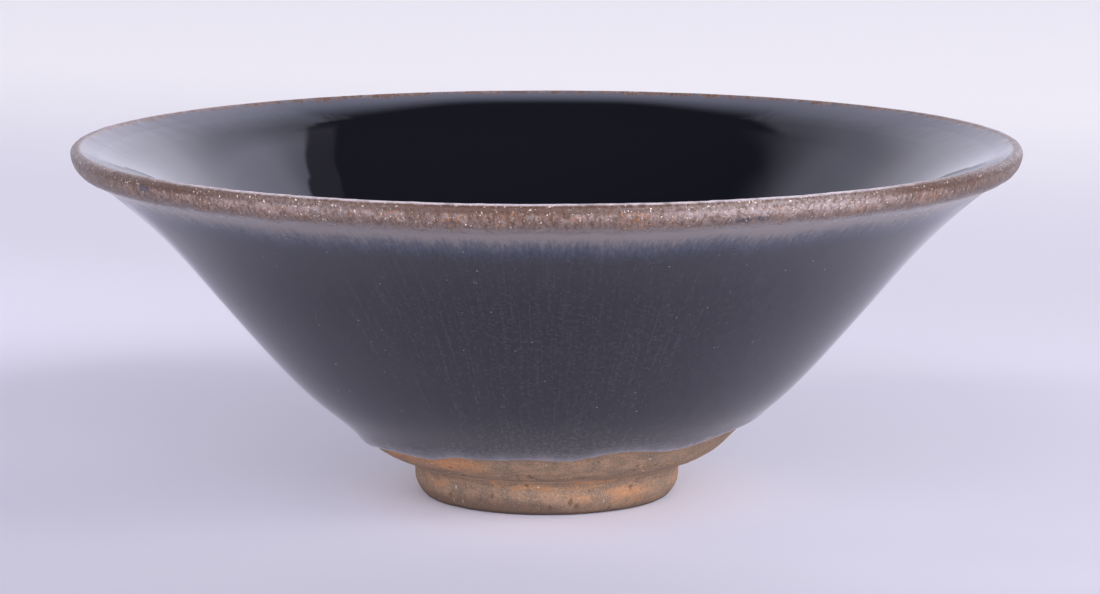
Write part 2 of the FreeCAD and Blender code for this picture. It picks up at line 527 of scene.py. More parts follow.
def go_round(radius, height, turns):
    """Rows of points once round, from the front (-Y) towards the right (+X)."""
    angle = np.linspace(0, math.tau, turns, endpoint=False)
    if np.ndim(radius) == 1:
        radius, height = radius[:, None], height[:, None]
    return np.stack([radius * np.sin(angle), -radius * np.cos(angle), height + 0 * angle], axis=-1)


def off_clay(distance, turns, lift=0.0):
    """Rows of points once round at distances along the section, lifted off the clay."""
    return go_round(*on_section(distance, lift), turns)


def rows_at(steps, turns):
    """Rows with the same distance at every turn."""
    return np.broadcast_to(np.array(steps)[:, None], (len(steps), turns))


def legs(start, *ways):
    """Distances from a start through several legs: where each ends, and in how many points."""
    run = [start]
    for end, count in ways:
        run.extend(np.linspace(run[-1], end, count)[1:])
    return np.array(run)


def turn_of(places):
    """The share of a turn of each point, from the front towards the right."""
    return np.arctan2(places[..., 0], -places[..., 1]) / math.tau


def aside_of(turn, place, radius):
    """How far round the bowl a turn lies from a place, in mm."""
    return ((turn - place + 0.5) % 1 - 0.5) * math.tau * radius


def blots(turn, distance, radius, spots):
    """Soft ovals. Each: share of a turn from the front, distance, how wide, how high, how strong."""
    return [strong * np.exp(-(aside_of(turn, place, radius) / wide) ** 2 - ((distance - at) / high) ** 2)
            for place, at, wide, high, strong in spots]


def lumps(places, size, shift=0.0):
    """Soft unevenness from about -1 to 1 at each place, with lumps that many mm across."""
    flat = (places.reshape(-1, 3) / size + shift).tolist()
    return np.array([noise.noise(Vector(place)) for place in flat]).reshape(places.shape[:-1])


def lumpy(places, layers):
    """Lumps of several sizes at once. Each layer: how high, how wide, and a shift of its own."""
    return sum(high * lumps(places, size, shift) for high, size, shift in layers)


def ease(value, low, high):
    """Runs softly from 0 to 1 as a value runs from low to high."""
    share = np.clip((value - low) / (high - low), 0, 1)
    return share * share * (3 - 2 * share)


def turn_piece(name, rows, marks, node, material, poles=False):
    """A closed piece from rows of points in mm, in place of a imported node.

    Each mark is a value at every point, which the finish reads by its name.
    """
    count, turns = rows.shape[:2]
    index = np.arange(count * turns).reshape(count, turns)
    low, high = (index[:-1], index[1:]) if poles else (index, np.roll(index, -1, axis=0))
    quads = np.stack([low, np.roll(low, -1, 1), np.roll(high, -1, 1), high], axis=-1)
    faces = quads.reshape(-1, 4).tolist()
    points = rows.reshape(-1, 3)
    if poles:
        first, last = len(points), len(points) + 1
        points = np.concatenate([points, [[0, 0, rows[0, :, 2].mean()], [0, 0, rows[-1, :, 2].mean()]]])
        following = np.roll(index, -1, axis=1)
        faces += [(first, int(after), int(before)) for before, after in zip(index[0], following[0])]
        faces += [(last, int(before), int(after)) for before, after in zip(index[-1], following[-1])]
    mesh = bpy.data.meshes.new(name)
    mesh.from_pydata((points * MM).tolist(), [], faces)
    for mark, values in marks.items():
        flat = np.broadcast_to(values, (count, turns)).reshape(-1)
        flat = np.concatenate([flat, [flat[0], flat[-1]]]) if poles else flat
        mesh.attributes.new(mark, "FLOAT", "POINT").data.foreach_set("value", flat)
    mesh.shade_smooth()
    mesh.set_sharp_from_angle(angle=math.radians(40))
    mesh.materials.append(material)
    piece = bpy.data.objects.new(name, mesh)
    bpy.context.scene.collection.objects.link(piece)
    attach(piece, "root")
    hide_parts(node)
    print(name, len(mesh.polygons), "faces")


print("turning helpers ready")

# %% [markdown]
# ## The coat's unevenness
# The three coats are one skin of glaze on the real bowl, so one rule says how far it stands off
# the clay. It swells and thins slowly over the wall. On the lip it ran thin and boiled a little,
# so it is lumpy, with small knobs along the crest. In the well it pools.

# %% Say how thick the glaze is
crest_at = float(along[np.argmax(section[:, 1])])
skin_radius, skin_height = on_section(along, coat)
below_crest, past_crest = along < crest_at - 3, along > crest_at + 0.5
join_low = float(along[below_crest][np.argmin(abs(skin_height[below_crest] - lip_low))])
join_high = float(along[past_crest][np.argmin(abs(skin_radius[past_crest] - lip_inside))])
glaze_radius, glaze_height, _ = folded("inner_glaze")
well_coat = glaze_height[glaze_radius < 1].max() - section[-1, 1]
print("crest at", round(crest_at, 1), "mm along; the lip's coat runs from", round(join_low, 1), "to",
      round(join_high, 1), "mm; the well's coat is", round(well_coat, 2), "mm")

# each knob: share of a turn from the front, how wide, how high it stands, in mm
crest_knobs = [(-0.118, 0.9, 0.10), (-0.083, 0.5, 0.07), (-0.041, 0.6, 0.05), (0.006, 0.7, 0.06),
               (0.052, 0.5, 0.07), (0.094, 0.8, 0.08), (0.131, 0.7, 0.10), (0.21, 0.9, 0.09),
               (0.33, 0.7, 0.08), (0.47, 0.9, 0.10), (0.58, 0.6, 0.07), (0.71, 0.8, 0.09)]
knob_reach = 0.6
knobs = [(place, crest_at, wide, knob_reach, strong) for place, wide, strong in crest_knobs]
swells = [(0.05, 26, 3.1), (0.012, 7, 8.4)]
boils = [(0.05, 9, 1.7), (0.04, 2.4, 5.3), (0.03, 1.1, 9.9)]
swell_sunk = 0.02
lip_room, least_room = 0.12, 0.012


def coat_lift(distance, places):
    """How far the glaze's skin stands off the clay, in mm."""
    pool = ease(distance, join_high + 25, along[-1]) * (well_coat - coat)
    swell = lumpy(places, swells) - swell_sunk
    calm = ease(distance, 12, 22) * (1 - ease(distance, along[-1] - 14, along[-1] - 5))
    lip = ease(distance, join_low - 8, join_low) * (1 - ease(distance, join_high - 1, join_high + 8))
    knobbed = sum(blots(turn_of(places), distance, mouth_radius, knobs))
    inside = ease(distance, crest_at + 0.4, crest_at + 2.0)
    lip_lift = np.minimum(lumpy(places, boils) * (1 - 0.8 * inside) - lip_room + knobbed, -least_room)
    return coat + pool + swell * calm * (1 - lip) + lip_lift * lip


turns = 1280
under = -0.08
closing = np.array([0.3, 0.15, 0.07, 0.03, 0.01, 0.0])

# %% [markdown]
# ## The hem
# The glaze stops in a hem that wanders round the bowl, as it does when a pot is dipped by hand.
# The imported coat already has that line, so it is read back from the coat's lowest edge at each
# angle, and a little trembling is added.

# %% Read the hem
def hem_heights():
    """The height of the coat's lower edge at each turn, in mm, from the front to the right."""
    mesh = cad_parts["outer_glaze"].data
    places = np.array([vertex.co for vertex in mesh.vertices]) / MM
    ends = places[np.array([edge.vertices[:] for edge in mesh.edges])]
    shares = np.linspace(0, 1, 9)[:, None, None]
    spots = (ends[:, 0] * (1 - shares) + ends[:, 1] * shares).reshape(-1, 3)
    place = turn_of(spots) % 1 * turns
    lowest = np.full(turns, np.inf)
    np.minimum.at(lowest, np.round(place).astype(int) % turns, spots[:, 2])
    found = np.flatnonzero(np.isfinite(lowest))
    filled = np.interp(np.arange(turns), found, lowest[found], period=turns)
    return smooth_along(np.tile(filled, 3), 5)[turns:2 * turns]


hem_radius, hem_height = 27.0, 10.0
trembling = [(0.10, 4.5, 2.2), (0.05, 1.4, 6.1)]
outside_points = 1200
hem = hem_heights()
hem_places = go_round(np.full(1, hem_radius), np.full(1, hem_height), turns)[0]
hem += lumpy(hem_places, trembling)
hem_along = np.interp(hem, section[:outside_points, 1], along[:outside_points])
print("the hem wanders from", round(hem.min(), 2), "to", round(hem.max(), 2), "mm")

# %% [markdown]
# ## Black glaze, and where it turns to rust
# An iron glaze is black where it lies thick. Where it runs thin over the lip the iron comes out
# as a rust brown, and between the two a pale grey fringe runs down in fine streaks like hare's
# fur. One recipe colours all three coats, by how far along the section a point lies. The height
# alone would mix up the inside and outside.

# %% Choose the glaze's colours
black = (0.0060, 0.0062, 0.0085)
wall_black = (0.0062, 0.0066, 0.0128)
wall_pale = (0.0180, 0.0190, 0.0285)
navy = (0.026, 0.034, 0.060)
fringe_low = (0.085, 0.088, 0.105)
fringe = (0.200, 0.170, 0.156)
# painted reflection of the pale walls, inside the lip
inside_painted_reflection = (0.100, 0.104, 0.122)
rust_low = (0.190, 0.142, 0.122)
rust = (0.178, 0.103, 0.071)
rust_pale = (0.335, 0.235, 0.192)
rust_dark = (0.070, 0.034, 0.019)
# warm painted glint
glint_gold = (0.93, 0.72, 0.50)
ember = (0.430, 0.195, 0.080)
ash = (0.225, 0.215, 0.195)
# painted highlight along the hem
hem_highlight_colour = (0.305, 0.290, 0.300)
# white painted glint
glint_white = (0.95, 0.88, 0.78)
# painted sheen on the lip
painted_sheen = (0.470, 0.420, 0.400)
# painted highlight on the crest
crest_highlight_colour = (0.640, 0.570, 0.570)
print("the black reflects", round(sum(black) / 3, 4), "of the light and the rust", round(sum(rust) / 3, 3))

# %% [markdown]
# Each border between two colours wanders, because the glaze ran further in one place than in
# the next. So clouds are added to the distance from the crest before a border is read from it.
# Where a border frays into streaks, they are drawn out down the wall.

# %% Lay out the glaze's clouds and borders
def glaze_fields():
    """A place's distances, clouds and shares, each by a name."""
    at = SimpleNamespace(place=in_mm())
    at.to_right, at.to_back, _ = parted(at.place)
    flat = joined(at.to_right, at.to_back, 0.0)
    ring = scaled(vectors("NORMALIZE", flat), mouth_radius)
    mark = mark_of("along")
    at.off = sums("SUBTRACT", mark, crest_at)

    def drawn_out(run, *settings):
        """A cloud drawn out down the wall: the smaller the run, the longer."""
        moved = vectors("ADD", ring, joined(0.0, 0.0, times(mark, run)))
        return cloud(moved, *settings)

    at.streak = drawn_out(0.13, 0.42, 4.0, 0.65)
    at.broad = drawn_out(0.13, 4.5, 2.0, 0.5, 2.0)
    spot = drawn_out(0.38, 0.48, 3.0, 0.6, 4.0)
    at.thread = drawn_out(0.03, 0.40, 3.0, 0.65, 7.0)
    at.fleck = drawn_out(0.45, 0.42, 3.0, 0.65, 9.0)
    at.patch = cloud(at.place, 5.0, 3.0, 0.55, 1.0)
    at.blotch = cloud(at.place, 1.5, 3.0, 0.6, 6.0)
    at.fine = cloud(at.place, 0.50, 3.0, 0.6, 3.0)
    at.grain = cloud(at.place, 0.24, 2.0, 0.6, 4.0)

    trail = add_part(spot, 3.4, add_part(at.streak, 3.0, -4.5))
    at.frayed = sums("ADD", at.off, add_part(at.broad, 2.6, trail))
    drift = add_part(at.blotch, 2.2, add_part(at.patch, 1.6, -1.9))
    at.edge = sums("ADD", at.off, drift)
    near_crest = add_part(at.fine, 0.5, sums("ADD", at.off, -0.25))

    at.outside = ramp(at.off, -2.0, 0.0, 1.0, 0.0)
    at.in_navy = times(ramp(at.frayed, -12.8, -8.6), ramp(at.off, 0.0, 3.0, 1.0, 0.0))
    # inside the lip the fringe's share carries a painted reflection of the walls, longer at the sides
    inner_reflection_reach = ramp(sums("ABSOLUTE", at.to_right), 10.0, 36.0, 4.0, 7.2)
    at.in_fringe = times(ramp(at.frayed, -10.9, -6.4), ramp(at.off, 0.6, inner_reflection_reach, 1.0, 0.0))
    past_border = ramp(at.edge, -4.9, -2.3)
    at.in_rust = times(past_border, ramp(at.off, -0.15, 0.60, 1.0, 0.0))
    at.in_brown = times(past_border, ramp(at.edge, -0.1, 1.4, 1.0, 0.0))
    # the band under the crest where a reflection of the dark ceiling is painted
    at.dark_band = times(ramp(near_crest, -1.30, -0.85), ramp(near_crest, -0.42, -0.26, 1.0, 0.1))
    return at


print("borders are measured from the crest,", round(crest_at, 2), "mm along")

# %% [markdown]
# Fine threads run down the black, with a cloudy bloom near the hem. Towards the lip the wall
# turns navy and then frays into the fringe. Just inside the lip a painted reflection of the pale
# walls takes the fringe's place, and along the hem's bead lies a painted highlight.

# %% Colour the walls
def wall_colour(at):
    """Black glaze with its threads, bloom and fringe, a painted reflection inside the lip and a painted highlight on
    the hem.
    """
    wall = blend(at.outside, black, wall_black)
    wall = blend(times(at.outside, ramp(at.thread, 0.45, 0.76)), wall, wall_pale)
    bloom = times(ramp(at.off, -54.0, -42.0, 0.20, 0.07), ramp(at.fine, 0.42, 0.70))
    wall = blend(times(at.outside, bloom), wall, ash)
    wall = blend(at.in_navy, wall, navy)
    hazy = blend(ramp(at.frayed, -9.8, -6.0), fringe_low, fringe)
    # inside the lip: painted reflection of the pale walls
    hazy = blend(at.outside, inside_painted_reflection, hazy)
    wall = blend(at.in_fringe, wall, hazy)
    # painted highlight along the hem's bead
    hem_highlight = times(mark_of("hem"), ramp(at.broad, 0.3, 0.7, 0.60, 0.90))
    return blend(hem_highlight, wall, hem_highlight_colour)


print("walls from", wall_black, "to", wall_pale)

# %% [markdown]
# The rust is never one brown. It has pale and ashen patches, an orange glow and dark specks. A
# dark band just under the crest is a painted reflection of the dark ceiling, and the crest has a
# painted highlight at the front. The lip coat's marks say where it is stained, and where it has
# painted sheen and painted shade.

# %% Colour the lip
def rust_colour(at, sheen_and_shade_paint):
    """The mottled rust of the lip, with a painted reflection of the ceiling, painted sheen and painted shade."""
    rusty = layered(rust, (at.blotch, 0.38, 0.64, rust_pale), (at.fine, 0.50, 0.68, 0.0, 0.75, ash),
                    (at.edge, -3.0, -1.2, 0.8, 0.0, rust_low))
    glowing = times(ramp(at.patch, 0.50, 0.66), ramp(at.fine, 0.52, 0.40), 0.55)
    rusty = blend(glowing, rusty, ember)
    # painted reflection of the dark ceiling, just under the crest
    rusty = blend(times(at.dark_band, 0.92), rusty, rust_dark)
    rusty = layered(rusty, (at.fleck, 0.36, 0.58, 0.75, 0.0, rust_dark), (at.grain, 0.40, 0.54, 0.45, 0.0, rust_dark))
    # painted sheen on the lip
    rusty = blend(times(sheen_and_shade_paint, ramp(at.fine, 0.40, 0.60, 0.25, 0.85)), rusty, painted_sheen)
    tearing = add_part(at.fine, 4.0, add_part(at.blotch, 3.0, -2.5))
    torn = times(mark_of("stain"), tearing)
    # painted shade where the sheen mark is below 0; then the real stains
    return layered(rusty, (sheen_and_shade_paint, -0.7, 0.0, 0.6, 0.0, rust_dark), (torn, 0.25, 0.85, 0.0, 0.85, navy),
                   (torn, -0.95, -0.35, 0.75, 0.0, ember))


def painted_crest_highlight(at):
    """A painted highlight on the crest: strong at the front, and none at the back."""
    on_crest = times(ramp(at.off, -0.44, -0.20), ramp(at.off, 0.15, 0.40, 1.0, 0.0))
    at_front = ramp(at.to_back, -56.0, -36.0, 1.0, 0.0)
    return times(on_crest, at_front, ramp(at.blotch, 0.3, 0.6, 0.30, 0.78))


print("rust from", rust_dark, "to", rust_pale)

# %% [markdown]
# Tiny crystals in the rust catch the light, and their glints are painted in near white and gold,
# over their own relief and polish. A few grains of dust were fired into the black wall. Both are
# points strewn at random. Each point's own chances say whether it shows, how wide it is and what
# colour it has.

# %% Strew sparks and dust
def sparks(at, sheen_and_shade_paint):
    """The crystals in the rust: (how much each place shows one, its painted glint colour)."""
    jitter = add("ShaderNodeTexNoise")
    feed(jitter, at.place, None, 1 / 0.30, 1.0)
    shaken = vectors("MULTIPLY_ADD", jitter.outputs[1], (0.45, 0.45, 0.45), at.place)
    distance, shows, width, warmth = strewn(shaken, 0.34)
    tip = sums("DIVIDE", distance, add_part(width, 1.1, 0.35))
    tip = ramp(tip, 0.14, 0.32, 1.0, 0.0)
    crowd = sums("ADD", at.blotch, ramp(at.off, -3.2, -1.6, -0.12, 0.04))
    # more glints where the painted sheen lies, fewer where it paints shade
    crowd = ramp(add_part(sheen_and_shade_paint, 0.12, crowd), 0.36, 0.54, 0.15, 1.0)
    glint = times(tip, ramp(shows, 0.42, 0.95), crowd, at.in_rust)
    return glint, blend(ramp(warmth, 0.3, 0.7), glint_gold, glint_white)


def dust_share(at):
    """How much each place of the outer wall shows a grain of dust."""
    distance, shows, _, _ = strewn(at.place, 1.7)
    dot = times(ramp(distance, 0.045, 0.095, 1.0, 0.0), ramp(shows, 0.35, 1.0, 0.0, 0.85))
    return times(dot, at.outside, sums("SUBTRACT", 1.0, at.in_rust))


print("sparks from", glint_gold, "to", glint_white)

# %% [markdown]
# The black is as smooth as glass and the rust is gritty, so the polish and the fine relief
# follow the same borders as the colour.

# %% Mix the iron glaze
def iron_glaze(name, gloss, sheen):
    """The glaze's material, from black walls to a rust-brown lip."""
    material, shader = finish(name)
    at = glaze_fields()
    # the lip coat's mark: painted sheen, and painted shade where it is below 0
    sheen_and_shade_paint = mark_of("painted_sheen")
    coloured = blend(at.in_brown, wall_colour(at), rust_colour(at, sheen_and_shade_paint))
    # painted highlight on the front of the crest
    coloured = blend(painted_crest_highlight(at), coloured, crest_highlight_colour)
    glint, glint_colour = sparks(at, sheen_and_shade_paint)
    # painted glints on the crystals
    coloured = blend(times(glint, 0.95), coloured, glint_colour)
    coloured = blend(dust_share(at), coloured, ash)
    give(shader.inputs["Base Color"], coloured)

    smooth = ramp(at.patch, 0.3, 0.7, 0.022, 0.050)
    smooth = add_part(at.in_fringe, 0.15, smooth)
    gritty = ramp(at.fine, 0.3, 0.7, 0.26, 0.44)
    gritty = add_part(at.dark_band, -0.04, gritty)
    polish = between(at.in_rust, smooth, gritty)
    give(shader.inputs["Roughness"], add_part(glint, -0.18, polish))

    ripple = times(cloud(at.place, 2.6, 1.0, 0.4, 5.0), 0.004)
    furrow = times(at.streak, at.in_fringe, at.outside, 0.010)
    sand = add_part(at.grain, 0.060, times(at.fine, 0.16))
    sand = add_part(glint, 0.05, sand)
    grit = times(at.in_rust, ramp(at.edge, -4.9, -1.4))
    emboss(add_part(sand, grit, sums("ADD", ripple, furrow)), shader)
    give(shader.inputs["Specular IOR Level"], gloss)
    give(shader.inputs["Specular Tint"], (*sheen, 1.0))
    return material


black_glaze = iron_glaze("black_glaze", 0.5, (1.0, 1.0, 1.0))
rust_glaze = iron_glaze("rust_glaze", 0.38, (1.0, 0.89, 0.80))
print("the iron glaze has", len(black_glaze.node_tree.nodes), "nodes")

# %% [markdown]
# ## Outer coat
# Rows are close together at the hem, where a rounded bead rolls over in less than a millimetre,
# and again near the rough lip. The back of the coat lies just inside the clay, so no slit of
# light shows between them.

# %% Pour the outer coat
bead_wide = 0.5
bead_at = 0.9
bead_reach = 0.65
bead_high = 0.13
hem_strong = 1.4
hem_fade = 1.1
close_to_lip = 4.2
near_hem = np.array([0, 0.012, 0.04, 0.08, 0.13, 0.2, 0.28, 0.38, 0.5, 0.65, 0.85, 1.1, 1.4])
far_gap = join_low - closing[0] - hem_along - near_hem[-1]
lip_gap = close_to_lip / far_gap.mean()
far_shares = legs(0, (1 - lip_gap, 34), (1, 22))[1:]

distance = np.concatenate([hem_along + near_hem[:, None], hem_along + near_hem[-1] + far_shares[:, None] * far_gap,
                           rows_at(join_low - closing[1:], turns)])
past_hem = distance - hem_along
on_clay = off_clay(distance, turns)
rolled = np.sqrt(1 - (1 - np.clip(past_hem / bead_wide, 0, 1)) ** 2)
bead = bead_high * np.exp(-((past_hem - bead_at) / bead_reach) ** 2) * (1 + 0.5 * lumps(on_clay, 5, 4.4))
lift = (coat_lift(distance, on_clay) + bead) * rolled
lift[0] = under
back = np.linspace(1, 0, 8)[:, None] * (join_low - hem_along) + hem_along
distance = np.concatenate([distance, back[:-1]])
lift = np.concatenate([lift, np.full(back[:-1].shape, under)])
outer_rows = off_clay(distance, turns, lift)
past_hem = np.maximum(distance - hem_along, 0)
# painted highlight along the hem, fading up the wall
hem_glow = np.minimum(hem_strong * np.exp(-past_hem / hem_fade), 1.0)
turn_piece("outer_coat", outer_rows, {"along": distance, "hem": hem_glow}, "outer_glaze", black_glaze)

# %% [markdown]
# ## Lip coat
# The lip is the roughest part of the skin, so its rows are only a tenth of a millimetre apart.
# Its crest is worn nearly flat. Stains go on it as marks, and so do painted sheen and painted shade.

# %% Pour the lip coat
crest_wear = 0.18
crest_inset, crest_slope = 1.1, 0.05
kept_above = 0.2
# distances are past the crest; below 0 a stain is orange, and a sheen spot paints shade instead
stains = [(0.0645, -2.50, 2.8, 0.45, 1.0), (0.0528, -1.90, 0.8, 0.30, -0.85), (-0.010, -1.0, 0.5, 0.35, -0.6),
          (-0.145, -1.3, 1.6, 0.45, 0.9), (0.31, -1.2, 2.0, 0.6, 1.0), (0.55, -1.5, 1.8, 0.5, 1.0),
          (0.72, -1.0, 1.2, 0.5, -0.9)]
# painted sheen where a spot is above 0, and painted shade at the lip's sides where it is below 0
sheen_and_shade_spots = [(0.083, -1.3, 21.0, 0.85, 0.78), (-0.080, -1.3, 15.0, 0.85, 0.42), (0.20, -1.3, 26.0, 2.0, -1.0),
           (-0.22, -1.3, 24.0, 2.0, -0.85), (0.42, -1.3, 16.0, 0.85, 0.5), (0.62, -1.3, 16.0, 0.85, 0.5)]

over_lip = legs(join_low + closing[0], (crest_at - 1, 21), (crest_at + 0.8, 29), (join_high - closing[0], 12))
distance = rows_at([*(join_low + closing[::-1]), *over_lip[1:-1], *(join_high - closing)], turns)
lift = coat_lift(distance, off_clay(distance, turns))
back = rows_at(np.linspace(join_high, join_low, 14), turns)
distance = np.concatenate([distance, back])
lift = np.concatenate([lift, np.full(back.shape, under)])
radius, height = on_section(distance, lift)
crest_flat = bowl_height - crest_wear + 0.025 * lumps(off_clay(distance, turns), 3.0, 6.6)
crest_flat += (mouth_radius - crest_inset - radius) * crest_slope
height = np.where(height > crest_flat, crest_flat + (height - crest_flat) * kept_above, height)
lip_rows = go_round(radius, height, turns)

share_round = np.arange(turns) / turns
stained, sheen_and_shade_mark = (sum(blots(share_round, distance - crest_at, mouth_radius, spots)) for spots in (stains, sheen_and_shade_spots))
lip_marks = {"along": distance, "stain": stained, "painted_sheen": sheen_and_shade_mark}
turn_piece("lip_coat", lip_rows, lip_marks, "lip_glaze", rust_glaze)

# %% [markdown]
# ## Inner coat
# The inside is one smooth dish. Its rows run from the middle of its back out to the lip and down
# again to the middle of the well, where the glaze lies deepest.

# %% Pour the inner coat
hub = 0.6
hub_at = along[-1] - hub
back = rows_at(np.linspace(hub_at, join_high, 9), turns)
into_well = legs(join_high + closing[0], (join_high + 4, 18), (hub_at, 50))
distance = rows_at([*(join_high + closing[::-1]), *into_well[1:]], turns)
lift = coat_lift(distance, off_clay(distance, turns))
distance = np.concatenate([back, distance])
lift = np.concatenate([np.full(back.shape, under), lift])
inner_rows = off_clay(distance, turns, lift)
turn_piece("inner_coat", inner_rows, {"along": distance}, "inner_glaze", black_glaze, poles=True)

# %% [markdown]
# ## Rough clay
# The clay was turned with a metal tool, which dragged grit and left shallow rings, open pits and
# grains that stand out. The same rule roughens the band of the bowl under the hem and the foot
# below it, so the two meet without a step. Distances are from the corner between them: above 0
# on the bowl and below 0 on the foot.

# %% Say how rough the clay is
random.seed(1071)
clay_turns = 960
clay_from, clay_to = -9.0, 9.5


def clay_sites(count, wide, deep):
    """Places where a grain was dragged out: share of a turn, distance, how wide, how deep."""
    return [(random.random(), random.uniform(clay_from, clay_to), random.uniform(*wide), random.uniform(*deep))
            for _ in range(count)]


pits = clay_sites(170, (0.14, 0.34), (0.05, 0.16))
grains = clay_sites(110, (0.10, 0.22), (-0.09, -0.03))
hem_pits = [(0.083 + 0.004 * k, 5.6 + 0.4 * (k % 3), 0.28, 0.20) for k in range(6)]
chips = [(0.028, -3.0, 0.42, 0.22), (0.036, -3.5, 0.32, 0.18), (0.62, -4.3, 0.6, 0.25), (0.37, -4.2, 0.45, 0.2)]
ring_layer, thin_ring_layer = (0.035, 1.0, 7.3), (0.02, 1.0, 1.9)
clay_layers = [(0.05, 6.0, 2.7), (0.022, 0.8, 4.1), (0.012, 0.4, 8.1)]
# painted light over the fillet, which lifts the shade of the crease under the bowl
fillet_light, fillet_uneven, fillet_at, fillet_wide = 0.44, 0.15, 1.1, 0.8


def clay_lift(distance, places):
    """How far the bare clay stands off its true section, and a mark: below 0 pits, above 0 grains and painted light
    over the fillet.
    """
    radius, turn = np.hypot(places[..., 0], places[..., 1]), turn_of(places)
    ringed = np.stack([places[..., 0] / radius * 5, places[..., 1] / radius * 5, distance * 2.6], axis=-1)
    lift = lumpy(ringed, [ring_layer]) + lumpy(ringed * (1, 1, 2.2), [thin_ring_layer])
    lift += lumpy(places, clay_layers)
    mark = np.zeros(lift.shape)
    for place, at, wide, deep in pits + grains + hem_pits + chips:
        aside = aside_of(turn, place, radius)
        spot = np.exp(-((aside ** 2 + (distance - at) ** 2) / wide ** 2) ** 1.5)
        lift -= deep * spot
        mark -= spot * math.copysign(1, deep)
    # painted light over the fillet, lifting the shade of the crease
    pale = fillet_light + fillet_uneven * lumps(places, 2.0, 3.3)
    mark += pale * np.exp(-((distance - fillet_at) / fillet_wide) ** 2)
    return lift, np.clip(mark, -1, 1)


print(len(pits), "pits,", len(grains), "grains and", len(chips), "chips")

# %% [markdown]
# In the kiln the clay flashed orange where air reached it, and smoke greyed it elsewhere. Both
# are soft ovals.
# At the front left the greying is painted shade, and at the crease the orange is partly painted light.

# %% Flash and smoke the clay, and paint light and shade on it
# flashes near distance 0, along the crease, are partly painted light
flashes_and_crease_light = [(-0.088, 7.6, 5.0, 2.4, 0.95), (-0.145, 9.2, 6.0, 3.0, 0.9), (-0.155, -1.6, 3.4, 1.3, 0.70),
           (-0.01, -0.55, 11.0, 0.65, 0.55), (-0.06, 0.5, 5.0, 0.8, 0.55), (0.05, 0.6, 4.5, 0.8, 0.60),
           (0.050, -2.2, 3.2, 0.9, 0.60), (0.035, -2.9, 2.6, 0.8, 0.75), (0.105, -1.9, 5.0, 1.2, 0.8),
           (0.118, -3.3, 4.0, 1.0, 0.6), (0.055, 0.8, 4.0, 0.5, 0.4), (0.26, -1.8, 7.0, 1.5, 0.7),
           (0.34, 3.5, 8.0, 1.8, 0.6), (0.48, -2.0, 8.0, 1.4, 0.7), (0.60, 4.0, 7.0, 1.8, 0.7),
           (0.72, -1.2, 6.0, 1.3, 0.8), (0.80, 3.0, 6.0, 2.0, 0.7)]
# the smokes at the front left are painted shade, where less light falls
smokes_and_painted_shade = [(-0.12, -4.1, 9.0, 1.5, 0.9), (-0.03, -3.2, 6.0, 1.1, 0.45), (-0.08, -1.4, 4.0, 0.9, 0.35),
          (-0.02, -4.6, 8.0, 1.2, 0.7), (-0.22, -3.8, 8.0, 1.6, 0.8), (0.0, 5.2, 3.4, 1.6, 0.35),
          (0.40, -3.6, 9.0, 1.4, 0.7), (0.66, 5.0, 8.0, 1.6, 0.6), (0.25, 6.5, 5.0, 1.6, 0.4)]


def flash_and_painted_light_of(distance, places):
    """How much the kiln's air reached the clay, up to about 1, with painted light at the crease; below 0 smoke, with
    painted shade at the front left.
    """
    spot = turn_of(places), distance, np.hypot(places[..., 0], places[..., 1])
    return np.maximum.reduce(blots(*spot, flashes_and_crease_light)) - sum(blots(*spot, smokes_and_painted_shade))


print(len(flashes_and_crease_light), "flashes and", len(smokes_and_painted_shade), "smoked stretches")

# %% [markdown]
# ## Bare clay finish
# The clay runs from grey brown to orange where the kiln flashed it. Rings of the turning tool,
# dark pits and a few pale grains break it up. It darkens towards the table with painted shade,
# and the fillet under the bowl carries painted light.

# %% Mix the bare clay
clay_grey = (0.215, 0.148, 0.094)
clay_tan = (0.335, 0.210, 0.122)
clay_orange = (0.490, 0.225, 0.090)
clay_dark_and_painted_shade = (0.100, 0.062, 0.040)
pale_grain_and_fillet_light = (0.620, 0.500, 0.390)


